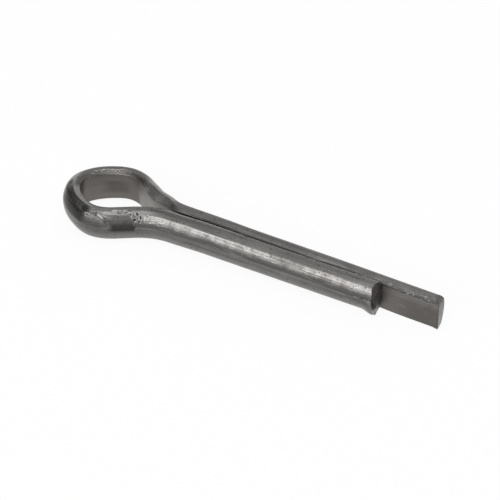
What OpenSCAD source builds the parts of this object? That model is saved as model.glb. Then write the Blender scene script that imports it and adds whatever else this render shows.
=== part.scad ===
// Cotter pin (split pin) with prongs of unequal length.
// One length of half-round wire is bent back on itself, flat side inwards: the bend is the eye,
// and the two ends lie together as a round shank that is split along its length.
// The pin lies on its side. The origin is on the shank's axis at the neck, where the shank
// leaves the eye. +X runs along the shank to the tips and +Z is up.

/* [Shank] */
// Diameter over both prongs, half-way along the shank
shank_d = 2.97; // [2.4:0.01:3.8]
// Length of the short prong, from the neck to its end
short_len = 17.4; // [8:0.1:60]
// How much further the long prong reaches
long_extra = 4.6; // [1:0.1:10]
// Gap between the prongs at the neck
slit_neck = 0.3; // [0.12:0.01:0.4]
// Gap between the prongs at the short prong's end
slit_tip = 0.06; // [0.04:0.01:0.12]
// Radius of the half-round wire's two corners
corner_r = 0.3; // [0.1:0.01:0.4]

/* [Eye] */
// Inside width of the eye
eye_w = 4.7; // [4:0.1:7]
// Inside radius of the eye's nose
nose_r = 1.2; // [0.6:0.1:1.6]
// Radius of the bend from the eye into the shank, on the wire's flat side
neck_r = 6.6; // [4:0.1:8]

/* [Sheared ends] */
// Angle of the long prong's end from square, with its round side the shorter
long_end_angle = 8; // [0:1:15]
// Length of the lip that the shears drew out at the short prong's end
lip_len = 1.2; // [0.6:0.1:2]
// How far the lip stands out of the wire
lip_rise = 0.18; // [0.1:0.01:0.24]
// Radius of the lip
lip_r = 0.95; // [0.5:0.05:1]
// Where the lip points: 0 is straight out from the shank's side, 90 is straight down
lip_angle = 40; // [30:1:50]

/* [Hidden] */
$fn = 96;
steel = "#5f5e5c";

// Each bend is revolved a spare degree too far and trimmed a hair into the next stretch.
spare = 1;
hair = 0.0000001;

// Both prongs' round sides are centred on the shank's axis half-way along.
round_r = shank_d / 2;
flat_off = (slit_neck + slit_tip) / 4;
corner_v = sqrt(pow(round_r - corner_r, 2) - pow(flat_off + corner_r, 2));
flat_half = round(100 * corner_v) / 100;

// Headings, clockwise from straight across the eye. The nose ends on the slope of a 44-117-125
// triangle and the cheek lies on that of a 336-527-625 one. A prong's leaves the slit open.
nose_heading = 2 * atan(2 / 11);
cheek_heading = 90 + 2 * atan(7 / 24);
closing_cos = cos(atan((slit_neck - slit_tip) / 2 / short_len));
closing = acos(ceil(1000000 * closing_cos) / 1000000);
prong_heading = 90 + closing;

// The inside line of one side runs nose, flank, cheek, neck and prong, each tangent to the last.
// The cheek is as long as it must be for the prong to start half a slit from the axis.
flank_r = (eye_w / 2 - nose_r * sin(nose_heading)) / (1 - sin(nose_heading));
flank_drop = (flank_r - nose_r) * sin(nose_heading);
bends = flank_r + neck_r;
cheek_drop = bends * sin(cheek_heading) - flank_drop - neck_r * cos(closing) - slit_neck / 2;
cheek_len = cheek_drop / -cos(cheek_heading);
nose_to_neck = (flank_r - nose_r) * cos(nose_heading) + cheek_len * sin(cheek_heading)
    - bends * cos(cheek_heading) - neck_r * sin(closing);

// Half-round section with its flat on the Y axis and its round side towards -X
module wire_section() {
    intersection() {
        translate([flat_off, 0]) circle(r = round_r);
        for (half = [0, 1]) mirror([0, half]) {
            translate([-shank_d, 0]) square([shank_d, flat_half]);
            translate([-shank_d, flat_half]) square([shank_d - corner_r, corner_r]);
            translate([-corner_r, flat_half]) corner();
        }
    }
}

// A quarter of a disc
module corner() {
    intersection() {
        circle(r = corner_r);
        square(2 * corner_r);
    }
}

// Each stretch starts at its own origin and heads along +Y, with its round side towards -X.
module straight(len) {
    translate([0, len, 0]) rotate([90, 0, 0]) linear_extrude(len) wire_section();
}

// Moves to the far end of a bend whose centre is at X = r. The headings are those at its two ends.
module after_bend(r, from, to) {
    translate([r, 0, 0]) rotate([0, 0, from]) rotate([0, 0, -to]) translate([-r, 0, 0]) children();
}

// Trims a bend to its end plane
module ended(r, from, to) {
    reach = 2 * (abs(r) + shank_d);
    difference() {
        children();
        after_bend(r, from, to) translate([-reach, hair, -reach]) cube(2 * reach);
    }
}

// A bend towards the wire's flat side, with r the radius of the flat
module inward_bend(r, from, to) {
    ended(r, from, to) translate([r, 0, 0]) mirror([1, 0, 0])
        rotate_extrude(angle = to - from + spare) translate([r, 0]) mirror([1, 0]) wire_section();
}

// A bend towards the wire's round side, with r the radius of the flat
module outward_bend(r, from, to) {
    ended(-r, from, to) translate([-r, 0, 0])
        rotate_extrude(angle = from - to + spare) translate([r, 0]) wire_section();
}

// One side of the pin, from the middle of the nose to the neck, with its prong as a child
module side() {
    translate([-nose_to_neck - nose_r, 0, 0]) {
        inward_bend(nose_r, 0, nose_heading);
        after_bend(nose_r, 0, nose_heading) {
            inward_bend(flank_r, nose_heading, cheek_heading);
            after_bend(flank_r, nose_heading, cheek_heading) {
                straight(cheek_len);
                translate([0, cheek_len, 0]) {
                    outward_bend(neck_r, cheek_heading, prong_heading);
                    after_bend(-neck_r, cheek_heading, prong_heading) children();
                }
            }
        }
    }
}

// Cuts off whatever lies beyond len, on a plane that leans back towards the round side.
module sheared(len, lean) {
    difference() {
        children();
        translate([0, len, 0]) rotate([0, 0, lean]) translate([-shank_d, 0, -shank_d]) cube(2 * shank_d);
    }
}

// The long prong's end leans, so that its flat side reaches further than its round side.
module long_prong() {
    len = short_len + long_extra;
    sheared(len, long_end_angle) straight(len + lip_len);
}

// The short prong's end is square. Its lip is a thinner rod that slopes up out of the wire.
module short_prong() {
    sheared(short_len, 0) {
        straight(short_len + lip_len);
        intersection() {
            translate([flat_off, short_len, 0]) rotate([0, -lip_angle, 0])
                translate([lip_r - round_r - lip_rise, 0, 0]) rotate([90, 0, atan(lip_rise / lip_len)])
                    cylinder(r = lip_r, h = 4 * lip_len, center = true);
            translate([-shank_d - corner_r, 0, -shank_d]) cube([shank_d, short_len + lip_len, 2 * shank_d]);
        }
    }
}

module cotter_pin() {
    color(steel) {
        side() long_prong();
        mirror([0, 1, 0]) side() short_prong();
    }
}

cotter_pin();
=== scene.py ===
import math

import bmesh
import bpy
from mathutils import Matrix, Vector, noise


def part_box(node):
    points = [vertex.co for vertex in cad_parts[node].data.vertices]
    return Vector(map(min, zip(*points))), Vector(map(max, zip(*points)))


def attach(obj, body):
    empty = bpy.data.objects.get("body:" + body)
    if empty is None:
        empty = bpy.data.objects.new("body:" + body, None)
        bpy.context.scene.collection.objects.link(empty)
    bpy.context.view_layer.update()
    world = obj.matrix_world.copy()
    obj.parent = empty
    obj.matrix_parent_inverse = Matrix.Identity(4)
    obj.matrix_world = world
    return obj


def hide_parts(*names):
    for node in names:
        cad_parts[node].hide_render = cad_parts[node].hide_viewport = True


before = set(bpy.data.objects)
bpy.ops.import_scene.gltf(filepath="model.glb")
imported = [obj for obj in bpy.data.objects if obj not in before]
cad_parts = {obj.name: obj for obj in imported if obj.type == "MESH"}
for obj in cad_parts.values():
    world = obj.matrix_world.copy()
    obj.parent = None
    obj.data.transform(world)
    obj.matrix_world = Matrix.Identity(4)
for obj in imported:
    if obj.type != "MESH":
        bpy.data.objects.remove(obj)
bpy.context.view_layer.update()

MM = 0.001               # a millimetre, in metres


# ---------------------------------------------------------------- sizes, in millimetres

WIRE_THICK = 1.395       # from the flat to the top of the round side
CROWN = 0.55             # the wire is highest this far from the flat
CROWN_REACH = 1.032      # half width of the oval that the flat is cut from, on the flat's side
WIRE_HALF = 1.30         # half of the wire's height in the prongs
EYE_HALF = 1.353         # and in the eye, where bending squeezes it taller
PRONG_THICK = 0.95       # the prongs' thickness, as a share of the wire's
FLAT_EDGE_R = 0.07       # how far the flat's two edges are rounded
UNDERSIDE = -1.415       # the lowest that the wire reaches
SHORT_REACH = 17.36      # how far along X the short prong ends
LONG_REACH = 22.0        # and the long one
NOSE_AT = -9.058         # where the nose's flat lies along X
NOSE_R = 0.94            # the tight bend of the nose, on the flat
PRONG = math.pi / 2 + math.acos(0.999977)   # heading: the prongs close by 0.39 degrees each

# What bending did to the wire.
NECK_SINK = 0.40         # the long side's top inner corner sinks so far at the neck
FLANK_SINK = 0.10        # and so far in the eye
FLANK_DROP = 0.12        # its lower inner corner reaches this much lower in the eye
TIP_DROP = 0.15          # and this much lower at the long tip
DROOP = 0.09             # fall of the long prong's tip
CORNER_RISE = 0.05       # the short prong's top inner corner stands this much higher

# The facets that the bending tool pressed into the near side.
NOSE_CREASE = 0.52       # from the flat to the crease on the nose's top
NOSE_SINK = 0.01         # depth of the facet at the crease
NOSE_SLOPE = 0.50        # and its fall for each millimetre out from there
CHEEK_OUT = 1.16         # from the flat to the facet on the cheek, near its top
CHEEK_TOP = 0.95         # the height there
CHEEK_SLOPE = 0.19       # how much further out it lies for each millimetre down

# How the dents are pressed.
DENT_REACH = 0.8         # no dent reaches further than this along the wire
DENT_RAGGED = 0.5        # how ragged a dent's edge is, as a share of its half size
DENT_RIM = 0.35          # how high its rim is raised, as a share of its depth
RIM_RUBBED = 0.7         # how bright the rim is rubbed, next to a burnished mark
ROUND_R = 1.15           # about the radius of the round side, to measure a dent's width on

# What the shears did to the cut ends.
CUT_REACH = 2            # the shears changed nothing further than this from a cut end
LIP_BELOW = 0.75         # the lip of the short end points so far below level, in radians
LIP_RISE = 0.20          # and is drawn out this far
LIP_TUCK = 0.36          # the lower inner corner is tucked up this far
TOP_ROLL = 0.22          # the top edge of the short end rolls over this far
NEAR_ROLL = 0.22         # and so does its near edge
LONG_ROLL = 0.36         # and so far the top edge of the long end
LONG_LEAN = 0.13         # the long end leans back so much for each millimetre from the flat
BURR = 0.08              # how far the burr under the long end reaches down


# Small dents, and burnished marks where the depth is negative, which are painted lighter as
# glints of light as well as wear: distance along the wire, degrees around it from the middle of
# the round side, half length, half width, turn in degrees, depth.
DENTS = [
    (-7.22, 68, 0.15, 0.12, 20, 0.08), (-7.54, 55, 0.11, 0.19, -15, 0.10),
    (-6.95, 46, 0.16, 0.15, 0, 0.08), (-7.42, 38, 0.13, 0.11, 30, 0.07),
    (-6.98, 33, 0.07, 0.09, 0, -0.03), (-7.45, 67, 0.06, 0.10, -10, -0.04),
    (-7.75, 64, 0.06, 0.24, -12, -0.03), (-6.72, 57, 0.07, 0.12, 0, -0.03),
    (-6.66, 66, 0.11, 0.08, 0, 0.05), (-6.27, 74, 0.24, 0.05, 5, 0.04),
    (-5.80, 71, 0.28, 0.05, -5, 0.04), (-5.55, 83, 0.42, 0.09, 4, -0.05),
    (-6.20, 84, 0.34, 0.09, 0, -0.05), (-6.40, 67, 0.14, 0.05, 0, -0.02),
    (-6.88, 18, 0.07, 0.07, 0, -0.03), (-6.78, 24, 0.08, 0.08, 0, 0.04),
    (-7.85, 42, 0.16, 0.05, -10, 0.04), (-8.15, 62, 0.12, 0.06, 12, 0.03),
    (-8.60, 50, 0.30, 0.04, 0, 0.03), (-9.30, 36, 0.40, 0.04, 4, 0.03),
    (-8.50, 34, 0.66, 0.09, -12, -0.015), (-8.40, 56, 0.42, 0.05, -11, -0.012),
    (-9.55, 43, 0.70, 0.09, -11, -0.015), (-8.35, 47, 0.30, 0.03, -11, 0.01),
    (-4.63, 59, 0.46, 0.13, 42, -0.06),
    (-4.05, 66, 0.09, 0.09, 0, 0.03), (-3.80, 58, 0.07, 0.09, 20, 0.03),
    (1.55, 104, 0.12, 0.06, 0, 0.04), (2.15, 100, 0.07, 0.10, 15, 0.03),
    (2.85, 103, 0.10, 0.08, -10, 0.035), (3.30, 98, 0.08, 0.07, 0, 0.03),
    (3.85, 104, 0.10, 0.06, 10, 0.03), (1.20, 99, 0.26, 0.05, 6, -0.02),
    (1.90, 98, 0.22, 0.05, 0, -0.02), (2.55, 97, 0.24, 0.06, -4, -0.025),
    (3.15, 96, 0.20, 0.05, 0, -0.02), (0.75, 117, 0.40, 0.03, 0, -0.01),
    (1.00, 108, 0.26, 0.06, 0, -0.02),
    (29.65, 114, 0.34, 0.05, 0, -0.02), (29.55, 120, 0.30, 0.03, 0, 0.02),
    (30.20, 117, 0.20, 0.04, 0, 0.03), (31.70, 118, 0.26, 0.03, 0, -0.02),
    (31.50, 120, 0.36, 0.03, 0, 0.02), (32.30, 106, 0.05, 0.08, 0, -0.01),
    (-27.3, 12, 0.55, 0.07, -8, 0.05), (-26.2, 50, 0.14, 0.05, 0, 0.03),
    (-18.3, 44, 0.14, 0.06, 10, 0.04), (-18.0, 47, 0.07, 0.05, 0, 0.04),
    (-19.6, 41, 0.20, 0.05, 4, 0.03), (-14.6, 46, 0.16, 0.05, -6, 0.03),
]


# ---------------------------------------------------------------- the wire's way round

# Each side of the bend: turn of the tight nose and of the whole flank in degrees, the radii of
# the flat in the flank and in the neck, and the half slit that the neck leaves.
LONG_SIDE, SHORT_SIDE = 1, -1
BENDS = {LONG_SIDE: (24.6, 120.7, 3.075, 7.556, 0.15),
         SHORT_SIDE: (12.6, 123.35, 2.693, 6.261, 0.10)}


def stretches(side):
    """The wire's stretches from the nose: length along the flat, and radius there.

    A positive radius bends towards the flat, a negative one towards the round side, and 0 is
    straight."""
    nose_turn, cheek, flank_r, neck_r, half_slit = BENDS[side]
    nose_turn, cheek = math.radians(nose_turn), math.radians(cheek)
    above_slit = (NOSE_R * math.sin(nose_turn) + flank_r * (math.sin(cheek) - math.sin(nose_turn))
                  + neck_r * (math.sin(cheek) - math.sin(PRONG)) - half_slit)
    return [
        (NOSE_R * nose_turn, NOSE_R),
        (flank_r * (cheek - nose_turn), flank_r),
        (above_slit / -math.cos(cheek), 0),
        (neck_r * (cheek - PRONG), -neck_r),
    ]


STRETCHES = {side: stretches(side) for side in BENDS}


def outward(heading):
    """The direction out of the round side, where the wire heads clockwise from +Y."""
    return Vector((-math.cos(heading), math.sin(heading), 0))


def ahead(heading):
    """The direction along the wire."""
    return Vector((math.sin(heading), math.cos(heading), 0))


def way_round(side, along):
    """Point on the flat, and heading, at a distance from the nose."""
    point, heading = Vector((NOSE_AT, 0, 0)), 0.0
    for length, radius in STRETCHES[side]:
        part = min(along, length)
        if radius:
            centre = point - radius * outward(heading)
            heading += part / radius
            point = centre + radius * outward(heading)
        else:
            point = point + part * ahead(heading)
        along -= part
        if along <= 0:
            return point, heading
    return point + along * ahead(heading), heading


def neck_end(side):
    """Distance along the wire from the nose to where the prong begins."""
    return sum(length for length, radius in STRETCHES[side])


def end_along(side, reach):
    """Distance along the wire from the nose to where a prong ends."""
    point, heading = way_round(side, neck_end(side))
    return neck_end(side) + (reach - point.x) / math.sin(heading)


LONG_END = end_along(LONG_SIDE, LONG_REACH)
SHORT_END = -end_along(SHORT_SIDE, SHORT_REACH)

# Where each run of slices ends along the wire, and how long its slices are. They are short at
# the cut ends and where most of the dents are.
SLICES = [(SHORT_END + 1.4, 0.06), (-8.6, 0.2), (-3.2, 0.055), (0.5, 0.09), (4.8, 0.07),
          (28.8, 0.2), (LONG_END, 0.07)]


def bent(co):
    """Takes a point of the straight wire, given as along, out of the flat and up, to its place."""
    side = LONG_SIDE if co.x >= 0 else SHORT_SIDE
    point, heading = way_round(side, abs(co.x))
    place = point + co.y * outward(heading)
    return Vector((place.x, side * place.y, co.z))


# ---------------------------------------------------------------- the straight wire

OVAL_EDGES = 132         # edges of the whole oval that the section is cut from
FLAT_CUTS = 24           # cuts that divide the flat
RING_SIZES = (0.88, 0.90, 0.88, 0.85, 0.80)   # each as a share of the ring round it


def wire_section(bm):
    """An oval cut to a flat, on the plane x = 0. The flat lies on y = 0, the round side beyond."""
    touching = 1e-4      # as near to the plane as this counts as on it
    bmesh.ops.create_circle(bm, cap_ends=True, segments=OVAL_EDGES, radius=1)
    bmesh.ops.rotate(bm, verts=bm.verts, matrix=Matrix.Rotation(math.pi / 2, 3, "Y"))
    round_side = [v for v in bm.verts if v.co.y > 0]
    flat_side = [v for v in bm.verts if v.co.y <= 0]
    bmesh.ops.scale(bm, verts=round_side, vec=(1, WIRE_THICK - CROWN, WIRE_HALF))
    bmesh.ops.scale(bm, verts=flat_side, vec=(1, CROWN_REACH, WIRE_HALF))
    bmesh.ops.bisect_plane(bm, geom=bm.verts[:] + bm.edges[:] + bm.faces[:], dist=1e-5,
                           plane_co=(0, -CROWN, 0), plane_no=(0, 1, 0), clear_inner=True)
    bmesh.ops.translate(bm, verts=bm.verts, vec=(0, CROWN, 0))
    edges_of_flat = [v for v in bm.verts if abs(v.co.y) < touching]
    bmesh.ops.bevel(bm, geom=edges_of_flat, offset=FLAT_EDGE_R, segments=3, profile=0.5,
                    affect="VERTICES", material=-1)
    flat = [e for e in bm.edges if all(abs(v.co.y) < touching for v in e.verts)]
    longest = max(flat, key=lambda e: e.calc_length())
    bmesh.ops.subdivide_edges(bm, edges=[longest], cuts=FLAT_CUTS)


def ring_ends(bm):
    """Gives both cut faces a sharp rim, and rings inside it, so that they can curve."""
    cut_faces = [f for f in bm.faces if len(f.verts) > 4]
    for face in cut_faces:
        for e in face.edges:
            e.smooth = False
        middle = face.calc_center_median()
        for size in RING_SIZES:
            made = bmesh.ops.extrude_face_region(bm, geom=[face], use_keep_orig=True)["geom"]
            bmesh.ops.delete(bm, geom=[face], context="FACES_ONLY")
            bmesh.ops.scale(bm, verts=[g for g in made if isinstance(g, bmesh.types.BMVert)],
                            vec=(1, size, size), space=Matrix.Translation(-middle))
            face, = [g for g in made if isinstance(g, bmesh.types.BMFace)]


def straight_wire(bm):
    """Extrudes the section from the short end to the long one, and slices it across."""
    wire_section(bm)
    bmesh.ops.translate(bm, verts=bm.verts, vec=(SHORT_END, 0, 0))
    unsliced = 0.9       # longer than any slice, and shorter than any run of them
    start, face = SHORT_END, bm.faces[:]
    for end, slice_length in SLICES:
        made = bmesh.ops.extrude_face_region(bm, geom=face, use_keep_orig=True)["geom"]
        if start != SHORT_END:
            bmesh.ops.delete(bm, geom=face, context="FACES_ONLY")
        face = [g for g in made if isinstance(g, bmesh.types.BMFace)]
        bmesh.ops.translate(bm, verts=[g for g in made if isinstance(g, bmesh.types.BMVert)],
                            vec=(end - start, 0, 0))
        new_edges = [e for e in bm.edges if e.calc_length() > unsliced]
        bmesh.ops.subdivide_edges(bm, edges=new_edges, use_grid_fill=True,
                                  cuts=round((end - start) / slice_length) - 1)
        start = end
    ring_ends(bm)
    bmesh.ops.recalc_face_normals(bm, faces=bm.faces)


def ramp(low, high, x):
    """Rises smoothly from 0 at low to 1 at high."""
    t = min(1, max(0, (x - low) / (high - low)))
    return t * t * (3 - 2 * t)


def hump(low, high, x):
    """A smooth hump of height 1 between low and high."""
    middle = (low + high) / 2
    return ramp(low, middle, x) * ramp(high, middle, x)


def window(run, start, end, edge):
    """Is 1 between start and end, and falls to 0 over the edge's length outside them."""
    return ramp(start - edge, start, run) * ramp(end + edge, end, run)


def fit_section(co):
    """The wire is taller in the eye, thinner in the prongs, and its inner corners give way."""
    run = abs(co.x)
    by_flat = 1 - ramp(0, 0.9, co.y)
    corner = (1 - ramp(0, 0.7, co.y)) * ramp(0.2, 0.9, co.z)
    co.z *= 1 + (EYE_HALF / WIRE_HALF - 1) * (1 - ramp(7.5, 11.5, run))
    co.y *= 1 + (PRONG_THICK - 1) * ramp(5.5, 10.5, run)
    if co.x > 0:
        co.z -= FLANK_DROP * by_flat * ramp(-0.4, -1.0, co.z) * hump(-1.5, 5.2, run)
        co.z -= corner * (NECK_SINK * hump(4.0, 10.5, run) + FLANK_SINK * hump(0.4, 5.0, run))
        co.z -= TIP_DROP * ramp(24, 30, run) * by_flat * ramp(0.3, -0.6, co.z)
        co.z -= DROOP * ramp(22, 33, run)
        co.y += (0.13 * hump(2.2, 5.5, run) - 0.04 * hump(4.9, 6.3, run)
                 + 0.12 * hump(7.0, 9.6, run) + 0.065 * window(run, 11, 13.5, 3)
                 - 0.07 * corner * window(run, 10, 22, 1.5))
        co.z = max(co.z, UNDERSIDE)
    else:
        co.z += corner * CORNER_RISE * ramp(7.5, 10, run) * (1 - 0.4 * ramp(14, 22, run))
        co.y += (0.08 * hump(2.4, 5.4, run) - 0.08 * hump(0.8, 3.9, run)
                 + 0.08 * hump(8.0, 13.2, run) - 0.05 * corner * window(run, 10, 15, 2))


def flatten(co):
    """Facets that the bending tool pressed into the near side: on the nose, and on the cheek."""
    run = -co.x
    nose_top = EYE_HALF - NOSE_SINK - NOSE_SLOPE * (co.y - NOSE_CREASE)
    if co.y > NOSE_CREASE and co.z > max(nose_top, 0):
        co.z += (nose_top - co.z) * window(run, 0.9, 3.2, 0.7)
    cheek_out = CHEEK_OUT + CHEEK_SLOPE * (CHEEK_TOP - co.z)
    if -0.25 < co.z < 1.05 and co.y > cheek_out:
        co.y += (cheek_out - co.y) * window(run, 5.0, 6.9, 0.25)


def press_dents(co, was):
    """Presses the dents in and raises their rims, by where the point was on the plain wire.

    Returns how much lighter the place is painted: worn dent rims, and burnished marks that also
    stand for painted glints of light. It is less than 0 in a dark hollow."""
    around = math.degrees(math.atan2(was.z, was.y - CROWN))
    wear_and_glint = 0
    for along, at, half_length, half_width, turn, depth in DENTS:
        if abs(was.x - along) > DENT_REACH:
            continue
        x, y = was.x - along, math.radians(around - at) * ROUND_R
        cos, sin = math.cos(math.radians(turn)), math.sin(math.radians(turn))
        r = math.hypot((x * cos + y * sin) / half_length, (y * cos - x * sin) / half_width)
        r += DENT_RAGGED * noise.noise(5 * was)
        rim, hollow = hump(0.75, 1.6, r), ramp(1, 0.1, r)
        push = depth * (DENT_RIM * rim - hollow)
        co.y += push * math.cos(math.radians(around))
        co.z += push * math.sin(math.radians(around))
        wear_and_glint += RIM_RUBBED * rim * (depth > 0) - math.copysign(hollow, depth)
    return wear_and_glint


def shear_short_end(co):
    """The short prong is cut from above. Its top edge rolls over and a lip is drawn out below."""
    to_end = co.x - SHORT_END
    if to_end > CUT_REACH:
        return
    out = Vector((0, co.y - 0.1, co.z)).normalized()
    by_lip = out.dot(Vector((0, math.cos(LIP_BELOW), -math.sin(LIP_BELOW))))
    pull = ramp(0.62, 1, by_lip) * (LIP_RISE * ramp(1.25, 0.3, to_end)
                                    - 0.05 * ramp(0.3, 0.0, to_end))
    tuck = (LIP_TUCK * ramp(0.4, 0, to_end) * ramp(-0.55, -1.2, co.z)
            * (1 - ramp(0.55, 0.95, co.y)))
    near_end = ramp(1.0, 0, to_end)
    co.x += near_end * (0.05 * co.y / WIRE_THICK + TOP_ROLL * ramp(0.45, 1.3, co.z) ** 1.5
                        + NEAR_ROLL * ramp(0.3, 1.2, co.y) * ramp(-0.6, 0.1, co.z))
    co.y += pull * out.y
    co.z = max(co.z + pull * out.z + tuck, UNDERSIDE)


def shear_long_end(co):
    """The long prong's end leans, rolls over at the top and keeps a burr at the bottom."""
    to_end = LONG_END - co.x
    if to_end > CUT_REACH:
        return
    near_end = ramp(1.0, 0, to_end)
    co.x -= near_end * (LONG_LEAN * co.y + LONG_ROLL * ramp(0.45, 1.25, co.z) ** 2)
    co.z = max(co.z - BURR * ramp(0.5, 0, to_end) * ramp(-0.9, -1.2, co.z), UNDERSIDE)


def make_pin():
    """The pin. Its mesh keeps each point's place on the straight wire, for the steel to follow."""
    bm = bmesh.new()
    straight_wire(bm)
    mesh = bpy.data.meshes.new("cotter_pin_wire")
    unbent = bm.verts.layers.float_vector.new("straight_wire")
    # how much lighter each point is painted: worn dent rims, and painted glints on burnished marks
    wear_and_glint = bm.verts.layers.float.new("wear_and_glint")
    for v in bm.verts:
        v[unbent] = v.co
        fit_section(v.co)
        flatten(v.co)
        v[wear_and_glint] = press_dents(v.co, v[unbent])
        shear_short_end(v.co)
        shear_long_end(v.co)
        v.co = bent(v.co) * MM
    for f in bm.faces:
        f.smooth = True
    bm.to_mesh(mesh)
    bm.free()
    pin = bpy.data.objects.new("cotter_pin_wire", mesh)
    bpy.context.collection.objects.link(pin)
    return pin


# ---------------------------------------------------------------- materials

WHITE_IN_METAL = 0.8     # how much of its plain white the paper keeps, as the metal mirrors it
WHITE_TO_EYE = 0.92      # and as it is seen


def linear(hex_colour):
    """sRGB hex to the linear colour that a socket takes."""
    values = [int(hex_colour[i:i + 2], 16) / 255 for i in (1, 3, 5)]
    return [v / 12.92 if v <= 0.04045 else ((v + 0.055) / 1.055) ** 2.4 for v in values] + [1]


def node(tree, kind, settings=None, **inputs):
    """Adds a node with its settings. An input is a value, or an output socket to link from.

    i0 is the first input, i1 the next and so on, where a name isn't enough."""
    made = tree.nodes.new(kind)
    for name, value in (settings or {}).items():
        setattr(made, name, value)
    for name, value in inputs.items():
        socket = made.inputs[int(name[1:]) if name[0] == "i" and name[1:].isdigit()
                             else name.replace("_", " ")]
        if isinstance(value, bpy.types.NodeSocket):
            tree.links.new(value, socket)
        else:
            socket.default_value = value
    return made


def region(tree, *edges):
    """How far a place lies inside its edges. An edge is a value, where it is out, and where in."""
    inside = 1.0
    for value, out_at, in_at in edges:
        slope = node(tree, "ShaderNodeMapRange", {"interpolation_type": "SMOOTHSTEP"},
                     Value=value, From_Min=out_at, From_Max=in_at)
        inside = node(tree, "ShaderNodeMath", {"operation": "MULTIPLY"}, i0=inside,
                      i1=slope.outputs["Result"]).outputs[0]
    return inside


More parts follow.
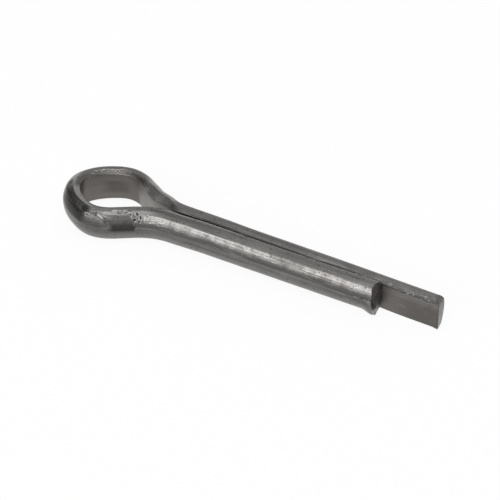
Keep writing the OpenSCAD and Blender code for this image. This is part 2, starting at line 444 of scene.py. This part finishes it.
def drawn_steel():
    """Bare low carbon steel wire, drawn through a die and left unplated.

    It is a dark, satin metal grey. The die leaves fine lines along the wire, and handling leaves
    scratches and pits. Painted highlights make some edges, marks and a stripe on the near prong
    brighter, and painted shade darkens the pressed facets, the slit and some other places. The
    flats, rolled before the wire was bent, are duller and a little brown."""
    material = bpy.data.materials.new("drawn_steel_wire")
    material.use_nodes = True
    tree = material.node_tree
    shader = tree.nodes["Principled BSDF"]
    shader.inputs["Metallic"].default_value = 1

    wire = node(tree, "ShaderNodeAttribute", {"attribute_name": "straight_wire"}).outputs["Vector"]
    along, out, up = node(tree, "ShaderNodeSeparateXYZ", Vector=wire).outputs
    wear_and_glint = node(tree, "ShaderNodeAttribute", {"attribute_name": "wear_and_glint"}).outputs["Fac"]

    # Each pattern has so many features a millimetre along, out of and across the wire. Die lines
    # are 0.15 mm apart and 12 mm long: real ones are finer, and would not show. Scratches are
    # 0.1 mm wide, pits 0.2 mm, patches of tone 2 mm long, and the painted highlights and shade on
    # edges, and the near prong's painted highlight, break up about every 0.6 mm. The shift keeps
    # the patterns from lining up.
    grain = {}
    for name, per_mm, detail, shift in (
            ("lines", (0.08, 7, 7), 3, 0), ("scratched", (0.6, 9, 9), 2, 31),
            ("pitted", (5, 5, 5), 2, 57), ("mottled", (0.5, 0.8, 0.8), 3, 83),
            ("broken", (1.6, 1, 1), 3, 23), ("wavy", (2, 2, 2), 2, 11)):
        placed = node(tree, "ShaderNodeVectorMath", {"operation": "MULTIPLY_ADD"}, i0=wire,
                      i1=per_mm, i2=(shift, shift, shift))
        grain[name] = node(tree, "ShaderNodeTexNoise", Vector=placed.outputs[0], Scale=1.0,
                           Detail=detail, Roughness=0.5).outputs["Fac"]
    # An edge that is given by run or across, not by along or up, wanders by up to 0.3 mm.
    wave = node(tree, "ShaderNodeMath", {"operation": "MULTIPLY_ADD"}, i0=grain["wavy"], i1=0.6,
                i2=-0.3).outputs[0]
    run = node(tree, "ShaderNodeMath", {"operation": "ADD"}, i0=along, i1=wave).outputs[0]
    across = node(tree, "ShaderNodeMath", {"operation": "ADD"}, i0=up, i1=wave).outputs[0]

    # Places on the wire, in millimetres along, out of the flat and up. Along is less than 0 on
    # the near side. The facets that the bending tool pressed are smooth, with no pits, scratches
    # or relief of die lines, and their dark colour is painted shade, standing for a dark
    # reflection.
    on_flat = region(tree, (out, 0.10, 0.02))
    nose_facet_shade = region(tree, (run, -3.8, -3.4), (run, -0.9, -1.6), (out, 0.8, 1.0),
                       (up, 0.05, 0.35), (up, 1.1, 0.9))
    cheek_facet_shade = region(tree, (run, -7.1, -6.85), (run, -4.85, -5.3), (out, 1.0, 1.16),
                        (up, -0.35, -0.05), (across, 0.95, 0.1))
    facet_shade = node(tree, "ShaderNodeMath", {"operation": "MAXIMUM"}, i0=nose_facet_shade,
                i1=cheek_facet_shade).outputs[0]
    off_facets = (facet_shade, 0.6, 0.0)
    pits = region(tree, (grain["pitted"], 0.62, 0.70), (on_flat, 1, 0), off_facets)
    scratches = region(tree, (grain["scratched"], 0.60, 0.68), off_facets)
    top, near_side = (up, 0.8, 1.05), (along, 0.1, -0.1)
    # Painted highlights: the nose's rim, its top on the near side and its land by the flat are
    # lighter, where they catch the light.
    nose_rim_highlight = region(tree, (out, 0.45, 0.55), (out, 1.10, 0.95), (up, 0.90, 1.1),
                      (along, -1.2, -0.7), (along, 0.6, 0.1))
    nose_top = region(tree, (out, 0.45, 0.60), (out, 1.05, 0.90), (up, 1.0, 1.12),
                      (along, -3.4, -3.8), (along, -5.9, -5.3))
    nose_land_sheen = region(tree, (out, 0.0, 0.06), (out, 0.56, 0.48), top, (along, -4.2, -3.4),
                       (along, -0.7, -1.3))
    # Painted shade: the land on the far rim of the eye is darker, against its reflection.
    far_rim_shade = region(tree, (out, 0.02, 0.06), (out, 0.36, 0.26), top, (along, -1.3, -0.7),
                     (along, 6.0, 4.5))
    # Painted reflection: the far neck and its top inner edge are lighter, for a brighter
    # reflection there.
    far_neck_sheen = region(tree, (along, 4.8, 6.0), (along, 9.8, 8.6), (up, 0.7, 1.0))
    far_lip_sheen = region(tree, (along, 5.4, 6.2), (along, 9.4, 8.8), (out, 0.70, 0.40),
                     (up, 0.9, 1.1))
    wall_stain = region(tree, (on_flat, 0, 1), (run, 1.4, 2.4), (run, 4.2, 3.2),
                        (up, -0.75, -0.40), (up, 0.60, 0.25))
    dull_top = region(tree, (along, -8.0, -9.0), (along, -19, -9), (out, 0.3, 0.5),
                      (out, 1.05, 0.90), (up, 0.95, 1.10))
    # Painted reflection: the flat at the far neck, inside the eye, is lighter, for the white floor
    # it mirrors.
    slit_mouth_sheen = region(tree, (on_flat, 0, 1), (along, 4.7, 5.2), (along, 9.0, 7.5))
    # Painted highlight: a broken bright line along the near prong's edge by the slit.
    slit_edge_highlight = region(tree, (out, 0.02, 0.05), (out, 0.30, 0.20), top, (along, -9.0, -10.0),
                       (grain["broken"], 0.30, 0.50))
    # Painted shade: dark along the long prong's flat edge, in the slit between the prongs.
    slit_shade = region(tree, (out, 0.15, 0.08), (up, 0.5, 0.8), (along, 10, 13), (along, 29, 24))
    # Painted shade: the long prong's rounded top edge near its end is darker, against its
    # highlight.
    long_edge_shade = region(tree, (out, 0.26, 0.16), (up, 0.85, 1.0), (along, 23.5, 25.5),
                       (grain["broken"], 0.64, 0.54))
    # Painted highlight: a broken lighter stripe along the near prong, where it mirrors the front
    # softbox.
    streak_highlight = region(tree, (out, 0.9, 1.1), (up, 0.2, 0.5), near_side, (along, -6.5, -8.0),
                    (grain["broken"], 0.35, 0.60))
    dull_streak = region(tree, (along, -18.9, -19.4), (along, -22.4, -21.9), (out, 1.0, 1.12),
                         (up, 0.70, 0.82))
    # Painted shade: a darker band below the painted highlight on the near prong, for a dark
    # reflection.
    band_shade = region(tree, near_side, (along, -5.5, -7.5), (out, 1.0, 1.1), (up, 0.02, 0.16),
                       (up, 0.62, 0.44))
    # Painted shade: the lower near cheek by the nose is darker, standing for a dark reflection.
    nose_shade = region(tree, (run, -4.9, -4.5), (run, -3.2, -3.5), (out, 0.7, 0.8),
                       (up, -0.2, 0.3))
    # The flat is darker towards the long tip.
    tip_flat_darker = region(tree, (on_flat, 0, 1), (run, 27.5, 31.0), (across, 0.8, 0.2))
    # The short prong's sheared cut face: it is rougher, and its darker colour is painted shade.
    short_cut_and_shade = region(tree, (along, SHORT_END + 0.06, SHORT_END + 0.02))
    short_lip = region(tree, (along, SHORT_END + 0.12, SHORT_END + 0.04), (up, -0.40, -0.66))
    long_cut = region(tree, (along, LONG_END - 0.12, LONG_END - 0.04))

    colour = linear("#6a6867")
    for place, share, tint in (
            (region(tree, (grain["mottled"], 0.35, 0.65)), 1.0, "#747270"),
            (region(tree, (grain["lines"], 0.50, 0.70)), 0.5, "#878582"),
            (region(tree, (grain["lines"], 0.50, 0.34)), 0.4, "#52504e"),
            # Painted reflection: lighter towards the bottom of the wire, for the bright floor it
            # mirrors.
            (region(tree, (up, -0.3, -0.6)), 0.4, "#878582"),
            (streak_highlight, 0.45, "#989694"),
            (dull_streak, 0.65, "#52504e"),
            (dull_top, 0.6, "#52504e"),
            (band_shade, 0.6, "#4e4c4a"),
            (nose_shade, 0.75, "#4e4c4a"),
            (far_neck_sheen, 0.7, "#a2a09e"),
            (far_lip_sheen, 0.45, "#c6c4c2"),
            (on_flat, 1.0, "#74706d"),
            (slit_mouth_sheen, 0.8, "#989592"),
            (tip_flat_darker, 0.9, "#5f5c59"),
            (wall_stain, 0.8, "#5f5c59"),
            (far_rim_shade, 0.6, "#52504e"),
            # painted shade: the pressed facets are darkened, standing for a dark reflection
            (facet_shade, 0.9, "#343433"),
            (nose_land_sheen, 0.6, "#949492"),
            (nose_rim_highlight, 0.6, "#b0b0ae"),
            (nose_top, 0.2, "#a8a8a6"),
            (slit_edge_highlight, 0.95, "#c6c6c4"),
            (slit_shade, 0.8, "#2e2c2a"),
            (long_edge_shade, 0.85, "#4a4a49"),
            (short_cut_and_shade, 0.8, "#5a5754"),
            (short_lip, 0.8, "#a4a4a2"),
            (long_cut, 0.6, "#52504e"),
            (pits, 0.6, "#3a3836"),
            (scratches, 0.35, "#8e8e8c"),
            # painted glints as well as wear: burnished marks and dent rims lighter, hollows darker
            (region(tree, (wear_and_glint, 0.1, 0.7)), 0.6, "#a4a4a2"),
            (region(tree, (wear_and_glint, -0.1, -0.7)), 0.7, "#2c2b2a")):
        share = node(tree, "ShaderNodeMath", {"operation": "MULTIPLY"}, i0=place, i1=share)
        colour = node(tree, "ShaderNodeMix", {"data_type": "RGBA"}, i0=share.outputs[0],
                      i6=colour, i7=linear(tint)).outputs[2]
    tree.links.new(colour, shader.inputs["Base Color"])

    roughness = 0.30
    for place, more in ((region(tree, (grain["mottled"], 0.3, 0.7)), 0.10), (pits, 0.2),
                        (region(tree, (grain["lines"], 0.3, 0.7)), -0.12), (on_flat, 0.14),
                        (short_cut_and_shade, 0.2)):
        roughness = node(tree, "ShaderNodeMath", {"operation": "MULTIPLY_ADD"}, i0=place,
                         i1=more, i2=roughness).outputs[0]
    tree.links.new(roughness, shader.inputs["Roughness"])

    relief = 0.02 * MM      # as high as a rise of 1 stands
    height = 0.0
    for place, rise in ((region(tree, (grain["lines"], 0.2, 0.8), off_facets), 1.0),
                        (scratches, -0.35), (pits, -0.6)):
        height = node(tree, "ShaderNodeMath", {"operation": "MULTIPLY_ADD"}, i0=place, i1=rise,
                      i2=height).outputs[0]
    bump = node(tree, "ShaderNodeBump", Strength=0.5, Distance=relief, Height=height)
    tree.links.new(bump.outputs["Normal"], shader.inputs["Normal"])
    return material


def white_paper():
    """Matt white paper. It is plain white to the eye and in the metal, and keeps a soft shadow."""
    material = bpy.data.materials.new("white_paper")
    material.use_nodes = True
    tree = material.node_tree
    tree.nodes.clear()
    lit = node(tree, "ShaderNodeBsdfDiffuse", Color=linear("#f0f0f0"))
    white = node(tree, "ShaderNodeEmission", Color=(1, 1, 1, 1), Strength=1)
    rays = node(tree, "ShaderNodeLightPath").outputs
    mirrored = node(tree, "ShaderNodeMath", {"operation": "MAXIMUM"}, i0=rays["Is Glossy Ray"],
                    i1=rays["Is Transmission Ray"])
    mirrored = node(tree, "ShaderNodeMath", {"operation": "MULTIPLY"}, i0=mirrored.outputs[0],
                    i1=WHITE_IN_METAL)
    share = node(tree, "ShaderNodeMath", {"operation": "MULTIPLY_ADD"}, i0=rays["Is Camera Ray"],
                 i1=WHITE_TO_EYE, i2=mirrored.outputs[0])
    mixed = node(tree, "ShaderNodeMixShader", i0=share.outputs[0], i1=lit.outputs[0],
                 i2=white.outputs[0])
    node(tree, "ShaderNodeOutputMaterial", Surface=mixed.outputs[0])
    return material


def grey_cloth():
    """Grey woven cotton on a frame. It is matt, so that the metal mirrors it as an even grey."""
    material = bpy.data.materials.new("grey_cloth")
    material.use_nodes = True
    shader = material.node_tree.nodes["Principled BSDF"]
    shader.inputs["Base Color"].default_value = linear("#7c7c7c")
    shader.inputs["Roughness"].default_value = 1
    shader.inputs["Specular IOR Level"].default_value = 0
    return material


# ---------------------------------------------------------------- stage, lights and camera

LAMP_DISTANCE = 0.4              # of lamps and flags from the pin, in metres
ROOM_LIGHT = 0.86                # how bright the room is, next to plain white
IMAGE = 500                      # the image's width and height in pixels
SENSOR = 36                      # the camera sensor's width in millimetres
CAMERA_FROM = (29.99, 36.95)     # degrees to the right and up
CAMERA_DISTANCE = 161.7          # from the point aimed at, in millimetres
AIM = (4.91, 0, 0)               # that point, in millimetres
AIM_PIXEL = (236.7, 244.6)       # where it lies in the image, from the top left
PIXELS_PER_MM = 13.058           # how large a millimetre looks at that point


def sheet(name, size, material, place, seen=True):
    """A flat stage sheet, made in place in its own mesh."""
    bm = bmesh.new()
    bmesh.ops.create_grid(bm, x_segments=1, y_segments=1, size=0.5)
    bmesh.ops.scale(bm, verts=bm.verts, vec=(size[0], size[1], 1))
    bmesh.ops.transform(bm, verts=bm.verts, matrix=place)
    mesh = bpy.data.meshes.new(name)
    bm.to_mesh(mesh)
    bm.free()
    mesh.materials.append(material)
    made = bpy.data.objects.new(name, mesh)
    bpy.context.collection.objects.link(made)
    made.visible_camera = seen


def direction(azimuth, elevation):
    """The way from the pin, in degrees: 0 is in front, and 90 to the right."""
    a, e = math.radians(azimuth), math.radians(elevation)
    return Vector((math.sin(a) * math.cos(e), -math.cos(a) * math.cos(e), math.sin(e)))


def around(azimuth, elevation):
    """The place of a lamp or flag that faces the pin from a direction."""
    towards = direction(azimuth, elevation)
    facing = towards.to_track_quat("Z", "Y").to_matrix().to_4x4()
    return Matrix.Translation(LAMP_DISTANCE * towards) @ facing


def softbox(name, azimuth, elevation, size, brightness):
    """A soft light, as bright to the eye as that many times white."""
    lamp = bpy.data.lights.new(name, "AREA")
    lamp.shape = "RECTANGLE"
    lamp.size, lamp.size_y = size
    lamp.energy = brightness * math.pi * size[0] * size[1]
    light = bpy.data.objects.new(name, lamp)
    light.matrix_world = around(azimuth, elevation)
    bpy.context.collection.objects.link(light)


def light_room():
    """Fills the room with even white light."""
    world = bpy.data.worlds.new("studio")
    world.use_nodes = True
    background = world.node_tree.nodes["Background"]
    background.inputs["Color"].default_value = (1, 1, 1, 1)
    background.inputs["Strength"].default_value = ROOM_LIGHT
    bpy.context.scene.world = world


def set_camera():
    """The camera looks down on the pin from the front right."""
    data = bpy.data.cameras.new("camera")
    data.sensor_width = SENSOR
    data.lens = PIXELS_PER_MM * CAMERA_DISTANCE * SENSOR / IMAGE
    data.shift_x = (IMAGE / 2 - AIM_PIXEL[0]) / IMAGE
    data.shift_y = (AIM_PIXEL[1] - IMAGE / 2) / IMAGE
    data.clip_start = 1 * MM
    camera = bpy.data.objects.new("camera", data)
    look = direction(*CAMERA_FROM)
    camera.location = Vector(AIM) * MM + CAMERA_DISTANCE * MM * look
    camera.rotation_euler = look.to_track_quat("Z", "Y").to_euler()
    bpy.context.collection.objects.link(camera)
    bpy.context.scene.camera = camera


# ---------------------------------------------------------------- the scene

pin = make_pin()
pin.data.materials.append(drawn_steel())
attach(pin, "root")
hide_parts("cotter_pin")

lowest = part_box("cotter_pin")[0][2]
sheet("floor", (3, 3), white_paper(), Matrix.Translation((0, 0, lowest)))
sheet("left_flag", (0.48, 0.48), grey_cloth(), around(-87, 23), seen=False)
sheet("right_flag", (0.5, 0.3), grey_cloth(), around(68, 16), seen=False)
softbox("front_softbox", -10, 20, (0.42, 0.22), 2.7)
softbox("top_softbox", 5, 74, (0.28, 0.26), 1.6)
light_room()
set_camera()
bpy.context.scene.view_settings.view_transform = "Standard"
